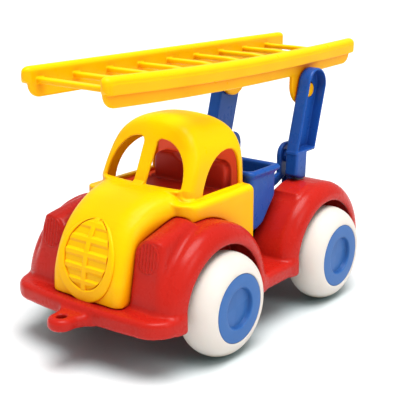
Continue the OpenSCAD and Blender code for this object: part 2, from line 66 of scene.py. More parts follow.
class Block:
    """A regular grid of sample points, kept as three arrays that broadcast together.

    With halves it holds only +X, from half a step out, and surface() mirrors what it finds there.
    """

    def __init__(self, lo, hi, step, halves=True):
        self.step = step
        self.halves = halves
        spans = []
        for axis in range(3):
            if axis == 0 and halves:
                spans.append((np.arange(int(hi[0] / step) + 3) + 0.5) * step)
            else:
                first = lo[axis] - 1.5 * step
                count = int((hi[axis] - lo[axis]) / step) + 5
                spans.append(first + np.arange(count) * step)
        x, y, z = [s.astype(np.float32) for s in spans]
        self.x = x[:, None, None]
        self.y = y[None, :, None]
        self.z = z[None, None, :]

    def side(self, points):
        """A (y, z) outline that runs along X."""
        return outline(points, self.y, self.z)

    def front(self, points):
        """An (x, z) outline that runs along Y."""
        return outline(points, self.x, self.z)

    def plan(self, points):
        """An (x, y) outline that runs along Z."""
        return outline(points, self.x, self.y)

    def round_x(self, y, z, r):
        """A cylinder along X."""
        return np.hypot(self.y - y, self.z - z) - r

    def round_z(self, x, y, r):
        """A cylinder along Z."""
        return np.hypot(self.x - x, self.y - y) - r

    def slab(self, axis, a, b):
        """The space between two planes across an axis: 0 for X, 1 for Y, 2 for Z."""
        v = (self.x, self.y, self.z)[axis]
        return np.abs(v - (a + b) / 2) - abs(b - a) / 2

    def spun(self, y, z, points):
        """A closed (radius, x) outline spun about the line along X through (y, z)."""
        r = np.hypot(self.y - y, self.z - z)[0]
        # The outline's distances are looked up in a table with this radial step
        fine = 0.25
        table_r = np.arange(0, r.max() + 2 * fine, fine, dtype=np.float32)
        table = outline(points, table_r[None, :], self.x[:, 0, :])
        at = r / fine
        low = at.astype(np.int32)
        part = (at - low).astype(np.float32)
        return table[:, low] * (1 - part) + table[:, low + 1] * part


def outline(points, u, v):
    """Signed distance to a closed outline."""
    p = np.asarray(points, np.float32)
    far = np.full(np.broadcast(u, v).shape, 1e9, np.float32)
    inside = np.zeros(far.shape, bool)
    for (ax, ay), (bx, by) in zip(p, np.roll(p, -1, 0)):
        ex, ey = float(bx - ax), float(by - ay)
        size = ex * ex + ey * ey
        if size < 1e-9:
            continue
        wx, wy = u - ax, v - ay
        t = np.clip((wx * ex + wy * ey) / size, 0, 1)
        dx, dy = wx - ex * t, wy - ey * t
        far = np.minimum(far, dx * dx + dy * dy)
        if ey != 0:
            inside ^= ((v >= ay) != (v >= by)) & (u < ax + wy * (ex / ey))
    far = np.sqrt(far)
    return np.where(inside, -far, far).astype(np.float32)


def join(a, b, k=None):
    """Union, with a fillet of about 0.8 k; k may vary over the block."""
    if k is None:
        return np.minimum(a, b)
    h = np.clip(0.5 + 0.5 * (b - a) / k, 0, 1)
    return b + (a - b) * h - k * h * (1 - h)


def both(a, b, k=None):
    """Intersection, with its edge rounded as join rounds its corner."""
    return -join(-a, -b, k)


def cut(a, b, k=None):
    """a without b."""
    return -join(-a, b, k)


def curve(a, b, c, d, n=16):
    """Points along a cubic Bezier curve."""
    t = np.linspace(0, 1, n + 1)[:, None]
    s = 1 - t
    a, b, c, d = [np.array(p, float) for p in (a, b, c, d)]
    return (s**3 * a + 3 * s * s * t * b + 3 * s * t * t * c + t**3 * d).tolist()


def arc(c, r, a0, a1, n=10):
    """Points along a circle's arc between two angles in degrees."""
    a = np.radians(np.linspace(a0, a1, n + 1))
    return [[c[0] + r * math.cos(t), c[1] + r * math.sin(t)] for t in a]


def oval(c, rx, ry, n=64):
    """Points round an ellipse."""
    a = np.linspace(0, 2 * math.pi, n, endpoint=False)
    return [[c[0] + rx * math.cos(t), c[1] + ry * math.sin(t)] for t in a]


def mirrored(half):
    """A closed outline, from its +X half and that half's mirror image."""
    return list(half) + [[-x, v] for x, v in reversed(half)]


# ---- mesher: naive surface nets ----

CORNERS = [(a, b, c) for a in (0, 1) for b in (0, 1) for c in (0, 1)]


def whole_field(block, field):
    """The field over both halves, made positive on the grid's faces to close it, and its X values."""
    f = field.astype(np.float32)
    x = block.x[:, 0, 0]
    if block.halves:
        f = np.concatenate([f[::-1], f], 0)
        x = np.concatenate([-x[::-1], x])
    for axis in range(3):
        ends = [slice(None)] * 3
        for end in (0, -1):
            ends[axis] = end
            f[tuple(ends)] = np.maximum(f[tuple(ends)], 0.01)
    return f, x


def edge_crossings(value):
    """Mean place, from 0 to 1 within each cell, where the field crosses zero on the cell's edges."""
    cells = len(value[CORNERS[0]])
    place = np.zeros((cells, 3))
    hits = np.zeros(cells)
    for axis in range(3):
        for o in CORNERS:
            if o[axis]:
                continue
            far = tuple(v + (w == axis) for w, v in enumerate(o))
            f0, f1 = value[o], value[far]
            crossed = (f0 < 0) != (f1 < 0)
            t = np.where(crossed, f0 / np.where(crossed, f0 - f1, 1), 0)
            for w in range(3):
                place[:, w] += crossed * (t if w == axis else o[w])
            hits += crossed
    return place / hits[:, None]


def onto_zero(value, place, longest=0.15, margin=0.02):
    """Two short steps onto the field's own zero, kept within the cell, and the unit slope there."""
    for _ in range(2):
        w = [(1 - place[:, a], place[:, a]) for a in range(3)]
        total = np.zeros(len(place))
        slope = np.zeros((len(place), 3))
        for o in CORNERS:
            wx, wy, wz = w[0][o[0]], w[1][o[1]], w[2][o[2]]
            v = value[o]
            total += v * wx * wy * wz
            slope[:, 0] += v * (2 * o[0] - 1) * wy * wz
            slope[:, 1] += v * (2 * o[1] - 1) * wx * wz
            slope[:, 2] += v * (2 * o[2] - 1) * wx * wy
        steep = np.maximum((slope**2).sum(1), 1e-9)
        shift = np.clip(slope * (total / steep)[:, None], -longest, longest)
        place = np.clip(place - shift, margin, 1 - margin)
    return place, slope / np.sqrt(steep)[:, None]


def crossed_quads(low, ids):
    """A quad round each grid edge that crosses zero, joining its four cells and facing outwards."""
    quads = []
    for axis in range(3):
        u, v = (axis + 1) % 3, (axis + 2) % 3
        here = [slice(1, -1)] * 3
        here[axis] = slice(0, -1)
        there = list(here)
        there[axis] = slice(1, None)
        a, b = low[tuple(here)], low[tuple(there)]
        at = np.stack(np.nonzero(a != b), 1)
        at[:, u] += 1
        at[:, v] += 1
        outward = a[a != b]
        ring = []
        for du, dv in ((-1, -1), (0, -1), (0, 0), (-1, 0)):
            q = at.copy()
            q[:, u] += du
            q[:, v] += dv
            ring.append(ids[q[:, 0], q[:, 1], q[:, 2]])
        ring = np.stack(ring, 1)
        quads.append(ring[outward])
        quads.append(ring[~outward][:, ::-1])
    return np.concatenate(quads)


def surface(block, field):
    """Points in mm, quads and normals where the field is zero, one point to a crossed cell."""
    f, x = whole_field(block, field)
    low = f < 0
    n = [s - 1 for s in f.shape]
    count = np.zeros(n, np.int8)
    for a, b, c in CORNERS:
        count += low[a:a + n[0], b:b + n[1], c:c + n[2]]
    i, j, k = np.nonzero((count > 0) & (count < len(CORNERS)))
    ids = np.full(n, -1, np.int32)
    ids[i, j, k] = np.arange(len(i))
    value = {o: f[i + o[0], j + o[1], k + o[2]] for o in CORNERS}
    place, normals = onto_zero(value, edge_crossings(value))
    base = np.stack([x[i], block.y[0, j, 0], block.z[0, 0, k]], 1)
    return base + place * block.step, crossed_quads(low, ids), normals


# ---- Blender objects ----

def make_object(name, shells, flip=False):
    """One smooth mesh object from (points in mm, quads, normals) shells; flip mirrors it in X."""
    points, quads, normals, used = [], [], [], 0
    for p, q, n in shells:
        points.append(p)
        quads.append(q + used)
        normals.append(n)
        used += len(p)
    p = np.concatenate(points) * MM
    q = np.concatenate(quads)
    n = np.concatenate(normals)
    if flip:
        p[:, 0] *= -1
        n = n * [-1, 1, 1]
        q = q[:, ::-1]
    p[:, 1] += AXLES_MID * MM
    mesh = bpy.data.meshes.new(name)
    mesh.vertices.add(len(p))
    mesh.vertices.foreach_set("co", p.astype(np.float32).ravel())
    mesh.loops.add(q.size)
    mesh.loops.foreach_set("vertex_index", np.ascontiguousarray(q, np.int32).ravel())
    mesh.polygons.add(len(q))
    mesh.polygons.foreach_set("loop_start", np.arange(0, q.size, q.shape[1], dtype=np.int32))
    mesh.update(calc_edges=True)
    mesh.validate()
    mesh.shade_smooth()
    mesh.normals_split_custom_set_from_vertices(n.tolist())
    obj = bpy.data.objects.new(name, mesh)
    bpy.context.scene.collection.objects.link(obj)
    return obj


def add_piece(name, shells, body, material, flip=False):
    """A finished piece that rides on a body and stands for the CAD node of the same name."""
    obj = make_object(name, shells, flip)
    obj.data.materials.append(material)
    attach(obj, body)
    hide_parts(name)


# ---- chassis ----

SKIRT = (29.0, 41.0)
HALF_W = 67.6
BUMPER_Y, TAIL_Y = -133.5, 117.0
BUMPER_CORNER, TAIL_CORNER = 20.0, 28.0
# The bumper's front runs back by x**2 / BUMPER_BOW, and the windscreen by x**2 / SCREEN_BOW
BUMPER_BOW, SCREEN_BOW = 840.0, 350.0
GUARD_IN, GUARD_R, ARCH_R, ARCH_RIM = 34.0, 53.0, 39.6, 1.4
# Beyond this X the mudguards round off
BULGE_X = 56.0
# Wall thickness on the mudguards and elsewhere
SKIN, WALL = 2.6, 2.5
# Spun outlines are closed on the far side of their axis
PAST_AXIS = -20.0
EYE_Y, EYE_R, EYE_HOLE_R = -145.5, 9.0, 3.2
AXLE_BOSS_R, AXLE_BORE_R = 6.5, 2.6
CAB_SCREWS = ((24.0, -117.5), (25.0, -11.0))
TUB_SCREWS = ((18.0, 42.0), (18.0, 74.0))
SCREW_HOLE_R, PILOT_R, PILOT_Z = 1.9, 1.6, 53.0


def skirt_plan(inset):
    """Outline of the skirt from above, with the bowed bumper in front, pulled in by inset."""
    bow_x = HALF_W - BUMPER_CORNER
    corner_y = BUMPER_Y + bow_x * bow_x / BUMPER_BOW + BUMPER_CORNER
    half = [[x, BUMPER_Y + inset + x * x / BUMPER_BOW] for x in np.linspace(0, bow_x, 9)]
    half += arc([bow_x, corner_y], BUMPER_CORNER - inset, -80, 0)
    half += arc([HALF_W - TAIL_CORNER, TAIL_Y - TAIL_CORNER], TAIL_CORNER - inset, 0, 90)
    return mirrored(half)


def guard_section(inset, x0, r0):
    """(radius, x) outline of a mudguard, pulled in by inset, from x0 outwards with radius r0 there."""
    rim = ARCH_R + ARCH_RIM
    dr, dx = GUARD_R - ARCH_R - ARCH_RIM, HALF_W - BULGE_X
    bulge = [[rim + (dr - inset) * math.cos(a), BULGE_X + (dx - inset) * math.sin(a)]
             for a in np.radians(np.linspace(0, 90, 13))]
    end = bulge[-1][1]
    return [[PAST_AXIS, x0], [r0, x0]] + bulge + [[ARCH_R - 1, end], [PAST_AXIS, end]]


# (y, z) and (x, z) outlines of the left lamp pod, and the X of its inner wall
POD_SIDE = ([[-117.4, 40], [-109.2, 85]]
            + curve([-109.2, 85], [-104, 86.8], [-92, 89], [-79, 92.2])
            + curve([-79, 92.2], [-75.5, 92.6], [-73, 91], [-70.5, 85], 8)
            + [[-68, 76], [-68, 40]])
POD_FRONT = ([[12, 38], [57.2, 38], [56.5, 41], [54.8, 62]]
             + curve([54.2, 70], [53.6, 80], [51, 94], [42.5, 94.6], 12)
             + [[31, 94.6], [12, 94.6]])
POD_IN = 31.3


def pod_field(g):
    """Lamp pod: sloping face, rising horn, and a top that leans down towards the bonnet."""
    pod = both(g.side(POD_SIDE), g.front(POD_FRONT), 5)
    # The division by the plane's slope turns its height into a distance
    lean = (g.z - 79.5 - 0.9 * (g.x - 31.5) - 0.29 * (g.y + 109)) / 1.38
    return both(pod, lean, 3)


def eye_field(g):
    """Towing eye in front of the bumper, without its hole."""
    eye = g.plan(mirrored([[0, EYE_Y - EYE_R]] + arc([0, EYE_Y], EYE_R, -85, 5, 10)
                          + [[9.3, -141], [11, -137.5], [15, -130.5], [0, -130.5]]))
    return both(eye, g.slab(2, 28.5, 37), 4)


def chassis_field(g):
    """Skirt, mudguards, lamp pods and towing eye, hollowed from below."""
    body = both(g.plan(skirt_plan(0)), g.slab(2, *SKIRT), 4.5)
    for y in (FRONT_Y, REAR_Y):
        guard = g.spun(y, WHEEL_R, guard_section(0, GUARD_IN, GUARD_R))
        guard = both(guard, SKIRT[0] - g.z, 3)
        body = join(body, guard, 3)
    pod = both(pod_field(g), POD_IN - g.x, 1.6)
    body = join(body, pod, 4)
    shoulder = g.side([[32, 70], [36.3, 79.5], [38.5, 84], [50, 87.2], [60, 87.6], [60, 76]])
    shoulder = both(shoulder, g.slab(0, GUARD_IN, BULGE_X), 3)
    body = join(body, shoulder, 2)
    body = join(body, eye_field(g), 3)
    body = cut(body, both(g.plan(skirt_plan(WALL)), g.z - (SKIRT[1] - WALL)), 1)
    # The wheel wells come after the skirt's hollow, so that their inner walls stand across it
    keep = both(g.slab(0, GUARD_IN, GUARD_IN + WALL), SKIRT[0] - g.z)
    inner_wall = [[PAST_AXIS, GUARD_IN], [GUARD_R, GUARD_IN],
                  [GUARD_R, GUARD_IN + WALL], [PAST_AXIS, GUARD_IN + WALL]]
    for y in (FRONT_Y, REAR_Y):
        body = join(body, both(g.spun(y, WHEEL_R, inner_wall), keep))
        well = g.spun(y, WHEEL_R, guard_section(SKIN, GUARD_IN + WALL, GUARD_R - SKIN))
        body = cut(body, well, 1)
        opening = both(g.round_x(y, WHEEL_R, ARCH_R), 60 - g.x)
        body = cut(body, opening, 2)
        boss = both(g.round_x(y, WHEEL_R, AXLE_BOSS_R), g.slab(0, 30, 44), 1)
        body = join(body, boss, 1.5)
        body = cut(body, both(g.round_x(y, WHEEL_R, AXLE_BORE_R), 20 - g.x), 0.6)
    body = cut(body, g.round_z(0, EYE_Y, EYE_HOLE_R), 1.6)
    for x, y in CAB_SCREWS + TUB_SCREWS:
        body = cut(body, g.round_z(x, y, SCREW_HOLE_R))
    return body


LAMP_X, LAMP_Z = 42.3, 74.5
LAMP_RX, LAMP_RZ = 8.8, 10.2
LAMP_RIM = 1.2
FLUTE_PITCH, FLUTE_DEPTH = 2.6, 0.32


def lamp_shell(side):
    """Oval lamp panel with upright flutes, on the pod's sloping face; side is 1 or -1."""
    middle = side * LAMP_X
    g = Block((middle - 10, -123, 62), (middle + 10, -105, 87), 0.3, halves=False)
    face = g.side([[-117.4, 40], [-109.4, 84], [-109.4, 100], [-100, 100], [-100, 40]])
    x = np.abs(g.x)
    panel = outline(oval([LAMP_X, LAMP_Z], LAMP_RX, LAMP_RZ), x, g.z)
    flutes = FLUTE_DEPTH * np.cos((x - LAMP_X) * (2 * math.pi / FLUTE_PITCH))
    raised = face - 0.35 - np.where(panel < -LAMP_RIM, flutes, 0)
    lamp = both(raised, panel, 1.0)
    return surface(g, both(lamp, -(face + 1.6)))


# ---- cab ----

NOSE_Y, BONNET_Z = -125.4, 106.5
BELT_Z, ROOF_Z, CAB_BACK = 99.5, 150.5, -4.5
DOOR_FRONT, DOOR_W, GLASS_W = -77.0, 47.5, 40.0
# Gaps above the skirt, beside the mudguards and pods, and over them or inside the cab
SEAT_GAP, SIDE_GAP, FIT_GAP = 0.3, 0.3, 0.35
CAB_FOOT = SKIRT[1] + SEAT_GAP
CAB_T = 2.5
CAB_POST_R, CAB_POST_Z = 5.0, 57.0
BONNET_SIDE = (curve([NOSE_Y, 38], [NOSE_Y, 66], [-120, 106], [-70, BONNET_Z], 24)
               + [[-58, BONNET_Z], [-58, 38]])


def bonnet_field(g):
    """Side profile met by upright walls that flare towards the cowl, rounder higher up."""
    walls = g.plan(mirrored([[0, -150], [30.6, -150], [31, -112]]
                            + curve([31, -112], [31.2, -98], [33, -86], [36.5, -75], 10)
                            + [[36.5, -58], [0, -58]]))
    soft = 8 + 9 * np.clip((g.z - 55) / 40, 0, 1)
    return both(g.side(BONNET_SIDE), walls, soft)


def guard_room(g, y):
    """The space that a mudguard and its clearance take from the part beside it."""
    return both(g.round_x(y, WHEEL_R, GUARD_R + FIT_GAP), GUARD_IN - SIDE_GAP - g.x)


def pilot_hole(g, x, y):
    """Hole for a screw that comes up through the skirt."""
    return both(g.round_z(x, y, PILOT_R), g.z - PILOT_Z)


def bowed(g):
    """Y bent so that the windscreen bows in plan, its sides further back."""
    return g.y - g.x**2 / SCREEN_BOW * np.clip((-38 - g.y) / 20, 0, 1)


def cab_fields(g):
    """The solid shapes of bonnet, doors and roof, before they're joined and hollowed."""
    bonnet = bonnet_field(g)
    corner, shoulder = 12, 5
    door_plan = g.plan(mirrored([[0, DOOR_FRONT]]
                                + arc([DOOR_W - corner, DOOR_FRONT + corner], corner, -90, 0)
                                + [[DOOR_W, CAB_BACK], [0, CAB_BACK]]))
    door_front = g.front(mirrored([[0, 38], [DOOR_W, 38]]
                                  + arc([DOOR_W - shoulder, BELT_Z - shoulder], shoulder, 0, 90)
                                  + [[0, BELT_Z]]))
    door = both(door_plan, door_front, 1.5)
    roof_side = outline([[-60, 60], [-72, 92], [-71.6, BONNET_Z]]
                       + curve([-60, 131], [-55.4, 142.5], [-50, ROOF_Z - 0.4], [-40, ROOF_Z + 0.3], 12)
                       + curve([-36, ROOF_Z + 0.2], [-16, ROOF_Z - 0.6],
                               [CAB_BACK, 147], [CAB_BACK, 122], 16)
                       + [[CAB_BACK, 60]], bowed(g), g.z)
    rise = ROOF_Z + 0.6 - BELT_Z
    # A flattened arch; the sine puts more of its points near the crown
    dome = [[GLASS_W * (1 - s**3.1) ** 0.5, BELT_Z + rise * s]
            for s in np.sin(np.radians(np.linspace(0, 90, 31)))]
    roof_front = g.front(mirrored([[0, 60], [GLASS_W, 60]] + dome))
    roof = both(roof_side, roof_front, 7)
    return bonnet, door, roof


def cab_field(g):
    """The cab's shell, with its windows, screw posts and room for mudguards and pods."""
    bonnet, door, roof = cab_fields(g)
    lower = join(bonnet, door, 2.4)
    cowl_bead = both(np.hypot(bowed(g) + 72.8, g.z - 105.6) - 1.7, g.x - 33, 3)
    lower = join(lower, cowl_bead, 1.6)
    outer = join(lower, roof, 1.6)
    shell = cut(outer, outer + CAB_T, 0.8)
    # Material kept where the roof's front skin crosses the cowl's
    pillar_foot = both(np.abs(roof + 0.2) - 1.3, np.abs(lower) - 1.2, 1)
    pillar_foot = both(pillar_foot, both(g.y + 62, 36 - g.z))
    shell = join(shell, pillar_foot, 1)
    side_window = g.side([[-52.8, 100.3], [-11.6, 100.3]]
                         + curve([-11.6, 100.3], [-11.6, 123], [-13, 126.3], [-23, 126], 10)
                         + curve([-23, 126], [-38, 125.5], [-50, 115], [-52.8, 100.3], 10))
    shell = cut(shell, both(side_window, 24 - g.x), 1.2)
    screen = outline([[5.0, 106.8], [33.0, 106.8]]
                     + curve([33.0, 106.8], [33.0, 124], [22, 135.4], [9.5, 135.4], 12)
                     + [[7, 134.8], [5.6, 133]], g.x, g.z)
    shell = cut(shell, both(screen, g.y + 42), 1.2)
    rear_hole = g.front(mirrored([[0, 101], [33, 101]]
                                 + curve([33, 101], [34, 128], [24, 140], [0, 140], 12)))
    shell = cut(shell, both(rear_hole, -20 - g.y), 1.4)
    for x, y in CAB_SCREWS:
        post = both(g.round_z(x, y, CAB_POST_R), g.z - CAB_POST_Z)
        shell = join(shell, both(post, outer + 0.4), 1)
    shell = both(shell, CAB_FOOT - g.z, 0.8)
    shell = cut(shell, guard_room(g, FRONT_Y), 0.6)
    shell = cut(shell, both(pod_field(g) - FIT_GAP, POD_IN - SIDE_GAP - g.x), 0.6)
    for x, y in CAB_SCREWS:
        shell = cut(shell, pilot_hole(g, x, y))
    return shell


LOUVRE_PITCH, LOUVRE_TOP = 8.8, 90.0


def grille_shell():
    """Oval grille in low relief on the bonnet: outer ring, upright bar and stepped louvres."""
    g = Block((0, -128.5, 40), (26.5, -103, 94), 0.4)
    skin = bonnet_field(g)
    ring = outline(oval([0, 66], 24.2, 26.2), g.x, g.z)
    inner = outline(oval([0, 70], 18.6, 21.8), g.x, g.z)
    step = both(ring, -inner, 0.8)
    bar = both(np.abs(g.x) - 2.2, inner - 0.4, 0.6)
    relief = both(skin - 1.3, np.minimum(step, bar), 1.2)
    # Each louvre's height over the bonnet, from one top edge to the next
    down = ((LOUVRE_TOP - g.z) / LOUVRE_PITCH) % 1
    louvre = skin - np.interp(down, [0, 0.3, 0.5, 0.9, 1], [1.4, 1.2, 0.2, 0.1, 1.4])
    relief = np.minimum(relief, both(louvre, inner + 0.4, 0.5))
    return surface(g, both(relief, -(skin + 0.8)))


# ---- cab interior ----

TRAY_Z, TRAY_H = SKIRT[1] + WHEEL_R + 13, 11.0
SEAT_W, SEAT_CORNER, SEAT_Z = 32.0, 7.0, 115.0
HOLLOW_W = 35.0
NOTCH_R, NOTCH_Z = 21.0, 130.0


def interior_field(g):
    """Liner of the cab: side trays, seat back and a notched back wall, on two legs."""
    _, door, roof = cab_fields(g)
    fit = CAB_T + FIT_GAP
    tray = both(both(door + fit, g.slab(1, -66, 0)), g.slab(2, TRAY_Z, TRAY_Z + TRAY_H))
    back = both(both(roof + fit, g.slab(1, -9.8, -6.8)), TRAY_Z - g.z, 0.6)
    seat = g.front(mirrored([[0, TRAY_Z + 1], [SEAT_W, TRAY_Z + 1]]
                            + arc([SEAT_W - SEAT_CORNER, SEAT_Z - SEAT_CORNER], SEAT_CORNER, 0, 90, 8)
                            + [[0, SEAT_Z]]))
    seat = both(seat, g.slab(1, -19, -8), 3)
    legs = both(both(g.slab(0, 16, 19), g.slab(1, -52, -12)), g.slab(2, CAB_FOOT, TRAY_Z + 1))
    body = join(join(tray, back), join(seat, legs), 1)
    across = g.slab(0, -HOLLOW_W, HOLLOW_W)
    hollow = both(both(across, g.slab(1, -63.5, -41)), TRAY_Z + 2 - g.z)
    body = cut(body, hollow, 1.5)
    bench = both(both(across, g.slab(1, -42.5, -19)), 95 - g.z)
    body = cut(body, bench, 2)
    notch = join(np.hypot(g.x, g.z - NOTCH_Z) - NOTCH_R, both(g.x - NOTCH_R, NOTCH_Z - g.z))
    return cut(body, notch, 1.2)


# ---- tub ----

TUB_FRONT, TUB_BACK, TUB_Z, TUB_FLOOR = -3.6, 34.5, 106.5, 62.0
RIM_W, RIM_CORNER, RIM_H = 45.0, 5.0, 4.5
TUB_FOOT = SKIRT[1] + SEAT_GAP
# The brackets that carry the arms: their X range, rear edge and corner radius
TAB = (24.5, 28.5)
TAB_BACK, TAB_CORNER = 80.0, 9.0
TUB_POST_R, TUB_POST_Z = 4.5, 54.0
PIN_BORE_R = 2.55


def tub_inside(g, t, top):
    """The bin below the rim, t further in than its outer skin and open up to top."""
    w = RIM_W - 2.5 - t
    back = TUB_BACK - 4
    side = g.side([[TUB_FRONT + 1 + t, TUB_FLOOR + t], [8, TUB_FLOOR + t],
                   [15.5 - t, TUB_FLOOR + 3 + t], [back - t, 83], [back - t, top],
                   [TUB_FRONT + 1 + t, top]])
    return both(side, g.x - w, 5)


def bracket_field(g):
    """Upright plate at each side that carries an arm's foot, with a window in it."""
    fy, fz = FOLD
    front, back = fy + 1, TAB_BACK - TAB_CORNER
    plate = join(g.round_x(front, fz + 1, TAB_CORNER), g.round_x(back, fz + 1, TAB_CORNER))
    plate = join(plate, g.side([[front, fz - 10], [back, fz - 10], [back, fz + 10], [front, fz + 10]]))
    plate = join(plate, g.side([[TUB_BACK - 5, TUB_FOOT], [TAB_BACK, TUB_FOOT], [TAB_BACK, fz + 1],
                                [fy - 8, fz + 1], [fy - 8, 92], [TUB_BACK - 5, 86]]), 1)
    window = g.side([[TUB_BACK - 1, 52], [TAB_BACK - 16, 52], [TAB_BACK - 16, 88],
                     [TAB_BACK - 27, 83.5], [TUB_BACK - 1, 78]])
    plate = cut(plate, window, 3)
    return both(plate, g.slab(0, *TAB), 1.6)


def tub_field(g):
    """The tub with its brackets, floor plate, screw posts and legs."""
    rim = g.plan(mirrored(arc([RIM_W - RIM_CORNER, TUB_FRONT + RIM_CORNER], RIM_CORNER, -90, 0)
                          + arc([RIM_W - RIM_CORNER, TUB_BACK - RIM_CORNER], RIM_CORNER, 0, 90)))
    rim = both(rim, g.slab(2, TUB_Z - RIM_H, TUB_Z), 3.4)
    body = join(tub_inside(g, 0, TUB_Z - 1), rim, 2.5)
    body = cut(body, tub_inside(g, WALL, TUB_Z + 20), 2.2)
    body = join(body, bracket_field(g), 1.5)
    floor = both(both(g.slab(0, -TAB[1], TAB[1]), g.slab(1, TUB_FRONT + 6, TAB_BACK)),
                 g.slab(2, TUB_FOOT, TUB_FOOT + 3), 1)
    body = join(body, floor, 1)
    for x, y in TUB_SCREWS:
        post = both(g.round_z(x, y, TUB_POST_R), g.slab(2, TUB_FOOT, TUB_POST_Z), 1)
        body = join(body, post, 1)
    leg = both(both(g.slab(0, *TAB), g.slab(1, TUB_FRONT + 6, TUB_FRONT + 30)),
               g.slab(2, TUB_FOOT, TUB_FLOOR + 1), 0.8)
    body = join(body, leg, 1)
    body = cut(body, guard_room(g, REAR_Y), 0.6)
    body = cut(body, both(g.round_x(*FOLD, PIN_BORE_R), g.slab(0, 20, 30)))
    for x, y in TUB_SCREWS:
        body = cut(body, pilot_hole(g, x, y))
    return body


# ---- arms ----

ARM_IN, ARM_OUT, ARM_W = 33.8, 44.3, 25.0
# The arm leans back; it turns on a pin at FOLD and takes the ladder's stub at TILT
LEAN = math.radians(16)
ARM_TOP = (TILT[0] - 0.85, TILT[1] + 4)
KINK_Z, POST_FOOT = 108.0, 88.6
ARM_WALL, CHANNEL_DEPTH = 1.7, 2.6
ARM_BOSS_R, ARM_PIN_R, STUB_BORE_R = 4.8, 2.56, 6.0


def on_arm(d, z):
    """(y, z) of the point at height z on the arm's edge, d behind its centre line."""
    edge_y = ARM_TOP[0] + d * math.cos(LEAN)
    edge_z = ARM_TOP[1] - d * math.sin(LEAN)
    return [edge_y - (edge_z - z) * math.tan(LEAN), z]


def arm_side(g, t, foot):
    """The leaning bar with its round top, t inside its outer edge, down to the height foot."""
    h = ARM_W / 2 - t
    c, s = math.cos(LEAN), math.sin(LEAN)
    bar = g.side([[ARM_TOP[0] - h * c, ARM_TOP[1] + h * s], [ARM_TOP[0] + h * c, ARM_TOP[1] - h * s],
                  on_arm(h, foot), on_arm(-h, foot)])
    return join(g.round_x(*ARM_TOP, h), bar)


def arm_field(g):
    """The left arm: a channel open inwards above a narrower post that turns on the tub's bracket."""
    front = on_arm(-ARM_W / 2, KINK_Z + 2)[0]
    post = g.side([[front, KINK_Z + 2], [front + 14.5, KINK_Z + 2],
                   [front + 13.5, POST_FOOT], [front - 1, POST_FOOT]])
    swing = join(g.round_x(*FOLD, FOLD[1] - POST_FOOT), FOLD[1] - g.z)
    post = both(post, swing)
    bar = join(arm_side(g, 0, KINK_Z), post, 0.8)
    body = both(bar, g.slab(0, ARM_IN, ARM_OUT), 2.2)
    boss = both(g.round_x(*FOLD, ARM_BOSS_R), g.slab(0, TAB[1] + 0.25, ARM_IN + 1))
    body = join(body, boss, 0.8)
    channel = both(arm_side(g, ARM_WALL, KINK_Z + 2.4), ARM_IN + CHANNEL_DEPTH - g.x)
    body = cut(body, channel, 0.8)
    body = cut(body, both(g.round_x(*TILT, STUB_BORE_R), ARM_IN - 1 - g.x), 0.5)
    return cut(body, both(g.round_x(*FOLD, ARM_PIN_R), g.slab(0, 20, ARM_OUT - 3)))


# ---- ladder, in its own tilting frame ----

LADDER_FRONT, LADDER_REAR = 220.0, 66.5
REST_TILT = math.radians(0.6)
RAIL_IN, WEB_X, RAIL_W = 29.5, 33.4, 37.5
# Heights of the web's lower edge, the cap's lip and the cap's top
RAIL_Z = (13.7, 22.2, 33.2)
RUNGS, RUNG_PITCH = 9, 30.9
RUNG_FIRST, RUNG_W, RUNG_Z = 7.5, 6.6, (22.6, 26.2)
EAR_R, STUB_R = 15.8, 5.85
# The left rail hangs by SAG at its lowest point, SAG_AT, and is straight again SAG_REACH away
SAG, SAG_AT, SAG_REACH = 3.4, -70.0, 140.0


def ladder_field(g):
    """Both rails with their lipped caps, the rungs, and the ears and stubs of the pivot."""
    z0, lip, z1 = RAIL_Z
    r, short = 8.5, 3.0
    a, b = short - LADDER_FRONT, LADDER_REAR - short
    side = g.side(arc([a + r, z0 + r], r, 180, 270) + arc([b - r, z0 + r], r, 270, 360)
                  + [[b, z1 - 2], [a, z1 - 2]])
    web = both(side, g.slab(0, RAIL_IN, WEB_X), 1.6)
    section = g.front([[RAIL_IN, lip], [RAIL_W, lip], [RAIL_W + 0.2, z1 - 5]]
                      + arc([RAIL_W - 4, z1 - 4], 4, 0, 90)
                      + arc([RAIL_IN + 3.2, z1 - 3.2], 3.2, 90, 180))
    cap = both(section, g.slab(1, -LADDER_FRONT, LADDER_REAR), 6)
    ear = join(g.round_x(-3.8, 4.6, EAR_R), both(g.slab(1, -19.6, 12), g.slab(2, 4.6, z0 + 2)))
    ear = both(ear, g.slab(0, RAIL_IN + 0.5, WEB_X), 1.2)
    body = join(join(web, cap, 0.5), ear, 0.8)
    for k in range(RUNGS):
        y = RUNG_FIRST - LADDER_FRONT + k * RUNG_PITCH
        rung = both(g.slab(1, y, y + RUNG_W), g.slab(2, *RUNG_Z), 1.4)
        body = join(body, both(rung, g.x - RAIL_IN - 0.5), 1.0)
    stub = both(g.round_x(0, 0, STUB_R), g.slab(0, WEB_X - 1, ARM_IN + 2.9), 0.8)
    return join(body, stub, 0.5)


def sagged(points):
    """The ladder with its left rail hanging a little between its ends."""
    p = points.copy()
    along = np.clip(1 - ((p[:, 1] - SAG_AT) / SAG_REACH)**2, 0, 1)
    p[:, 2] -= SAG * along * np.clip(p[:, 0] / RAIL_W, 0, 1) * np.clip(p[:, 2] / RAIL_Z[0], 0, 1)
    return p


def in_place(points):
    """From the ladder's own frame to the truck's."""
    c, s = math.cos(-REST_TILT), math.sin(-REST_TILT)
    x, y, z = points.T
    return np.stack([x, c * y - s * z + TILT[0], s * y + c * z + TILT[1]], 1)


# ---- turned pieces ----

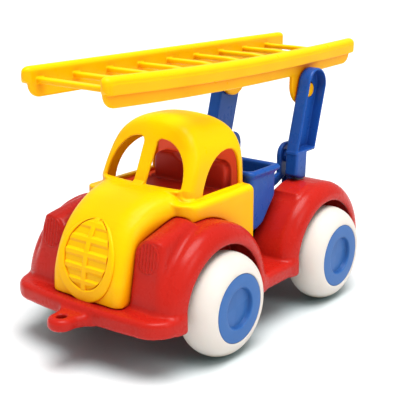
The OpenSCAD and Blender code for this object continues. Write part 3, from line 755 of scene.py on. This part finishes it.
def turned(profile, y, z, steps=144):
    """Spin an (x, radius) profile about the line along X through (y, z)."""
    p = np.array(profile, float)
    a = np.linspace(0, 2 * math.pi, steps, endpoint=False)
    ring = np.stack([np.broadcast_to(p[:, :1], (len(p), steps)),
                     y + p[:, 1:] * np.cos(a), z + p[:, 1:] * np.sin(a)], -1)
    i = np.arange(len(p) - 1)[:, None] * steps
    j = np.arange(steps)[None, :]
    k = (j + 1) % steps
    quads = np.stack([i + j, i + k, i + steps + k, i + steps + j], -1).reshape(-1, 4)
    points = ring.reshape(-1, 3)
    return points, quads, np.zeros(points.shape)


def softened(points, r, n=4):
    """Round every corner of an (x, radius) profile by r."""
    p = np.array(points, float)
    out = [p[0]]
    for a, b, c in zip(p[:-2], p[1:-1], p[2:]):
        la, lc = np.linalg.norm(a - b), np.linalg.norm(c - b)
        d = min(r, 0.45 * la, 0.45 * lc)
        s, e = b + (a - b) / la * d, b + (c - b) / lc * d
        for t in np.linspace(0, 1, n + 1):
            out.append((1 - t)**2 * s + 2 * t * (1 - t) * b + t * t * e)
    out.append(p[-1])
    return out


WHEEL_OUT, TYRE_W = 78.7, 29.7
HUB_R, BARREL_R, DISC_T, HUB_RECESS_R = 23.2, 17.0, 3.2, 13.9
BARREL_IN = WHEEL_OUT - TYRE_W + 2.5
AXLE_R, AXLE_END = 2.5, WHEEL_OUT - 4.5
# A profile ends this close to its axis, so that its last ring isn't a point
ON_AXIS = 0.01


def tyre_profile():
    """(x, radius) outline of the left tyre: a round tread and side walls over the hub's seat."""
    mid = WHEEL_OUT - TYRE_W / 2
    shoulder = HUB_R + 0.35
    seat = WHEEL_OUT - DISC_T - 0.1
    round_part = [[mid + TYRE_W / 2 * math.sin(a), shoulder + (WHEEL_R - shoulder) * math.cos(a)]
                  for a in np.radians(np.linspace(-90, 90, 49))]
    return ([[BARREL_IN, BARREL_R + 0.1], [WHEEL_OUT - TYRE_W + 0.6, BARREL_R + 3]] + round_part
            + [[WHEEL_OUT - 0.15, HUB_R + 0.12], [WHEEL_OUT - 0.8, HUB_R + 0.1], [seat, HUB_R + 0.1],
               [seat, BARREL_R + 0.1], [BARREL_IN, BARREL_R + 0.1]])


def hub_profile():
    """(x, radius) outline of the left hub: dished face, barrel, and the boss that takes the axle."""
    x = WHEEL_OUT
    dish = x - 3.4
    face = softened([[dish, ON_AXIS], [dish, HUB_RECESS_R - 0.8], [x, HUB_RECESS_R], [x, HUB_R],
                     [x - DISC_T, HUB_R]], 0.8, 5)
    floor = x - DISC_T - 3
    boss_r, boss_in = AXLE_BOSS_R, 44.6
    bore_r, bore_end = AXLE_R + 0.04, AXLE_END + 0.3
    back = [[x - DISC_T, BARREL_R], [BARREL_IN, BARREL_R], [BARREL_IN, BARREL_R - 3],
            [floor, BARREL_R - 3], [floor, boss_r], [boss_in, boss_r], [boss_in, bore_r],
            [bore_end, bore_r], [bore_end, ON_AXIS]]
    return face + back


def axle_profile():
    """(x, radius) outline of an axle."""
    return softened([[-AXLE_END, ON_AXIS], [-AXLE_END, AXLE_R], [AXLE_END, AXLE_R],
                     [AXLE_END, ON_AXIS]], 0.5)


# ---- materials ----

def srgb(r, g, b):
    """Linear RGBA from 0 to 255 sRGB values."""
    out = []
    for v in (r, g, b):
        c = v / 255
        out.append(c / 12.92 if c <= 0.04045 else ((c + 0.055) / 1.055) ** 2.4)
    return (*out, 1.0)


class Graph:
    """The shader nodes of one material or world, with the helpers that the looks share."""

    def __init__(self, owner):
        owner.use_nodes = True
        self.nodes = owner.node_tree.nodes
        self.links = owner.node_tree.links

    def add(self, kind, *values):
        """A node of this kind, with values linked to its first inputs."""
        node = self.nodes.new("ShaderNode" + kind)
        for socket, value in zip(node.inputs, values):
            self.links.new(value, socket)
        return node

    def place(self):
        """The point on the object, in metres."""
        return self.add("TexCoord").outputs["Object"]

    def noise(self, scale, detail):
        """Smooth noise from 0 to 1, scale features to a metre."""
        node = self.add("TexNoise", self.place())
        node.inputs["Scale"].default_value = scale
        node.inputs["Detail"].default_value = detail
        return node.outputs["Fac"]

    def remap(self, value, a, b, c, d):
        """value from the range a to b onto c to d, clamped."""
        node = self.add("MapRange", value)
        for socket, v in zip(node.inputs[1:5], (a, b, c, d)):
            socket.default_value = v
        return node.outputs[0]

    def mix(self, fac, a, b):
        """Colour a where fac is 0 and b where it is 1; each is a colour or a socket."""
        node = self.add("Mix", fac)
        node.data_type = "RGBA"
        for socket, v in ((node.inputs[6], a), (node.inputs[7], b)):
            if isinstance(v, tuple):
                socket.default_value = v
            else:
                self.links.new(v, socket)
        return node.outputs[2]

    def openness(self, reach, samples):
        """1 in the open, falling to 0 inside creases; reach is in metres."""
        node = self.add("AmbientOcclusion")
        node.samples = samples
        node.inputs["Distance"].default_value = reach
        return node.outputs["AO"]

    def part(self, vector, axis):
        """One of X, Y and Z of a vector."""
        return self.add("SeparateXYZ", vector).outputs[axis]

    def set(self, node, **inputs):
        """Set a node's inputs by name, with _ for a space: a socket is linked, all else is a value."""
        for name, v in inputs.items():
            socket = self.nodes[node].inputs[name.replace("_", " ")]
            if isinstance(v, bpy.types.NodeSocket):
                self.links.new(v, socket)
            else:
                socket.default_value = v


SHADER = "Principled BSDF"
# Noise scales of the plastic's flow marks, uneven gloss and sparked grain, and the steel's brushing
FLOW, GLOSS, SPARK, BRUSH = 28, 160, 1400, 900
SPARK_DEPTH = 0.00003


def plastic(name, base, crease_shade, rough=0.3, shine=0.2, glow=0.06, reach=0.012, top=None):
    """Moulded plastic: flow marks, fine sparked grain, painted warm shade in creases, painted edge
    highlights.

    glow is how much light goes into the plastic, reach the distance, in metres, over which creases get
    painted shade, and top a lighter colour painted as light on faces that look up.
    """
    material = bpy.data.materials.new(name)
    g = Graph(material)
    shape = g.add("NewGeometry")
    deeper = tuple(v * 0.93 for v in base[:3]) + (1.0,)
    colour = g.mix(g.remap(g.noise(FLOW, 3), 0.35, 0.65, 0, 1), base, deeper)
    # Painted light: faces that look up turn towards the lighter top colour
    if top:
        up = g.part(shape.outputs["Normal"], "Z")
        colour = g.mix(g.remap(up, 0.0, 0.8, 0, 1), colour, top)
    # Painted shade: creases and hollows darken towards the warmer shade colour
    colour = g.mix(g.remap(g.openness(reach, 6), 0.25, 0.85, 1, 0), colour, crease_shade)
    # Painted highlight: convex edges turn paler
    edge_highlight = tuple(min(1, v * 1.12 + 0.015) for v in base[:3]) + (1.0,)
    edge = g.remap(shape.outputs["Pointiness"], 0.53, 0.62, 0, 0.45)
    bump = g.add("Bump")
    g.set(bump.name, Strength=0.35, Distance=SPARK_DEPTH, Height=g.noise(SPARK, 2))
    g.set(SHADER,
          Base_Color=g.mix(edge, colour, edge_highlight),
          Roughness=g.remap(g.noise(GLOSS, 4), 0.3, 0.7, rough - 0.05, rough + 0.06),
          Normal=bump.outputs["Normal"],
          IOR=1.48,
          Specular_IOR_Level=shine,
          Subsurface_Weight=glow,
          Subsurface_Scale=0.004,
          Subsurface_Radius=(1.0, 0.5, 0.25))
    return material


def metal(name):
    """Finely brushed steel."""
    material = bpy.data.materials.new(name)
    g = Graph(material)
    brush = g.noise(BRUSH, 2)
    g.set(SHADER,
          Base_Color=g.mix(brush, srgb(196, 198, 202), srgb(150, 152, 158)),
          Roughness=g.remap(brush, 0, 1, 0.24, 0.42),
          Metallic=1.0)
    return material


def lit_through(material, colour, strength):
    """Light coming through the back and side walls of the liner, from the open side of the cab."""
    g = Graph(material)
    across = g.add("Math", g.part(g.place(), "X"))
    across.operation = "ABSOLUTE"
    # The light sets in where the back wall and the side walls begin, at these places in metres
    back = g.remap(g.part(g.place(), "Y"), -0.0085, -0.0065, 0, strength)
    side = g.remap(across.outputs[0], 0.034, 0.036, 0, strength)
    most = g.add("Math", back, side)
    most.operation = "MAXIMUM"
    g.set(SHADER, Emission_Color=colour, Emission_Strength=most.outputs[0])


# Each plastic's second colour is the painted shade in its creases
RED = plastic("red_plastic_look", srgb(186, 32, 22), srgb(132, 12, 10), rough=0.27, shine=0.16)
INNER = plastic("red_inner_look", srgb(188, 48, 30), srgb(116, 22, 16), rough=0.4)
lit_through(INNER, srgb(216, 76, 38), 0.55)
# Yellow's top colour is painted light on its up-facing faces
YELLOW = plastic("yellow_plastic_look", srgb(250, 184, 0), srgb(222, 92, 6), rough=0.32, shine=0.1,
                 top=srgb(253, 206, 0))
BLUE = plastic("blue_plastic_look", srgb(28, 80, 162), srgb(24, 58, 132))
HUB = plastic("hub_plastic_look", srgb(52, 102, 166), srgb(22, 60, 128), rough=0.36)
TYRE = plastic("cream_tyre_look", srgb(222, 214, 205), srgb(190, 176, 160), rough=0.5, glow=0.1,
               reach=0.01)
STEEL = metal("steel_look")

# ---- pieces ----
# Each grid gives its moulding's box, two corners in mm, and the size of its cells

grid = Block((0, -156, 27), (68.5, 118, 96), 0.85)
add_piece("chassis", [surface(grid, chassis_field(grid)), lamp_shell(1), lamp_shell(-1)],
          "truck", RED)

grid = Block((0, -127.5, 40), (48.5, -3.5, 152), 0.7)
add_piece("cab", [surface(grid, cab_field(grid)), grille_shell()], "truck", YELLOW)

grid = Block((0, -70, 40), (46, -5, 150), 0.75)
add_piece("cab_interior", [surface(grid, interior_field(grid))], "truck", INNER)

grid = Block((0, -5, 40), (46, 82, 115), 0.7)
add_piece("tub", [surface(grid, tub_field(grid))], "truck", BLUE)

grid = Block((27.5, 52, 87), (45, 96, 169.5), 0.6, halves=False)
arm_shell = surface(grid, arm_field(grid))
for side, flip in (("left", False), ("right", True)):
    add_piece(side + "_arm", [arm_shell], side + "_arm", BLUE, flip)

grid = Block((0, -LADDER_FRONT, -12.5), (38.5, LADDER_REAR, 34), 0.7)
points, quads, normals = surface(grid, ladder_field(grid))
normals = in_place(points + normals) - in_place(points)
ladder_shell = (in_place(sagged(points)), quads, normals)
add_piece("ladder", [ladder_shell], "ladder", YELLOW)

for end, y in (("front", FRONT_Y), ("rear", REAR_Y)):
    body = end + "_wheelset"
    add_piece(end + "_axle", [turned(axle_profile(), y, WHEEL_R, 48)], body, STEEL)
    for side, flip in (("left", False), ("right", True)):
        wheel = end + "_" + side
        add_piece(wheel + "_tyre", [turned(tyre_profile(), y, WHEEL_R)], body, TYRE, flip)
        add_piece(wheel + "_hub", [turned(hub_profile(), y, WHEEL_R)], body, HUB, flip)

# The pins and screws keep their CAD shapes
for name in ("left_arm_pin", "right_arm_pin", "cab_screws", "tub_screws"):
    node = frame["nodes"][name]
    node.data.materials.clear()
    node.data.materials.append(STEEL)

# ---- studio ----

FLOOR_REACH = 6.0
FLOOR_SHADE, FLOOR_WHITE = (0.30, 0.42, 0.44, 1), (0.92, 0.92, 0.92, 1)
# The backdrop shows white to the camera but lights the toy more softly
SKY_LIGHT, SKY_SEEN = 0.48, 1.0


def add_floor():
    """A pale floor with a darker, cool shade under and close around the toy."""
    r = FLOOR_REACH
    mesh = bpy.data.meshes.new("floor")
    mesh.from_pydata([(-r, -r, 0), (r, -r, 0), (r, r, 0), (-r, r, 0)], [], [(0, 1, 2, 3)])
    material = bpy.data.materials.new("studio_floor")
    g = Graph(material)
    open_floor = g.remap(g.openness(0.09, 16), 0.2, 0.85, 0, 1)
    g.set(SHADER, Base_Color=g.mix(open_floor, FLOOR_SHADE, FLOOR_WHITE), Roughness=0.6)
    mesh.materials.append(material)
    floor = bpy.data.objects.new("floor", mesh)
    bpy.context.scene.collection.objects.link(floor)


def add_sky():
    """White surroundings, at one strength for the camera and another for everything else."""
    world = bpy.data.worlds.new("studio")
    bpy.context.scene.world = world
    g = Graph(world)
    seen = g.add("LightPath").outputs["Is Camera Ray"]
    g.set("Background", Color=(1, 1, 1, 1), Strength=g.remap(seen, 0, 1, SKY_LIGHT, SKY_SEEN))


def softbox(name, place, spread, power):
    """A broad, soft light from far off, the same over the whole floor; spread in degrees."""
    light = bpy.data.lights.new(name, "SUN")
    light.angle = math.radians(spread)
    light.energy = power
    obj = bpy.data.objects.new(name, light)
    obj.rotation_euler = Vector(place).to_track_quat("Z", "Y").to_euler()
    bpy.context.scene.collection.objects.link(obj)


def add_camera(place, aim, focal_px, width_px=400, sensor=36):
    """The photograph's camera: its place in m from midway between the axles, and where it looks."""
    camera = bpy.data.objects.new("camera", bpy.data.cameras.new("camera"))
    bpy.context.scene.collection.objects.link(camera)
    x, y, z = place
    camera.location = (x, y + AXLES_MID * MM, z)
    camera.rotation_euler = Vector(aim).to_track_quat("-Z", "Y").to_euler()
    camera.data.sensor_width = sensor
    camera.data.lens = focal_px / width_px * sensor
    bpy.context.scene.camera = camera


add_floor()
add_sky()
softbox("top", (0.2, -0.08, 1.0), 38, 3.4)
softbox("side", (1.0, 0.0, 0.7), 24, 0.5)
add_camera((0.39793, -0.51340, 0.26975), (-0.59135, 0.75539, -0.28231), 928.2)
bpy.context.scene.view_settings.view_transform = "Standard"
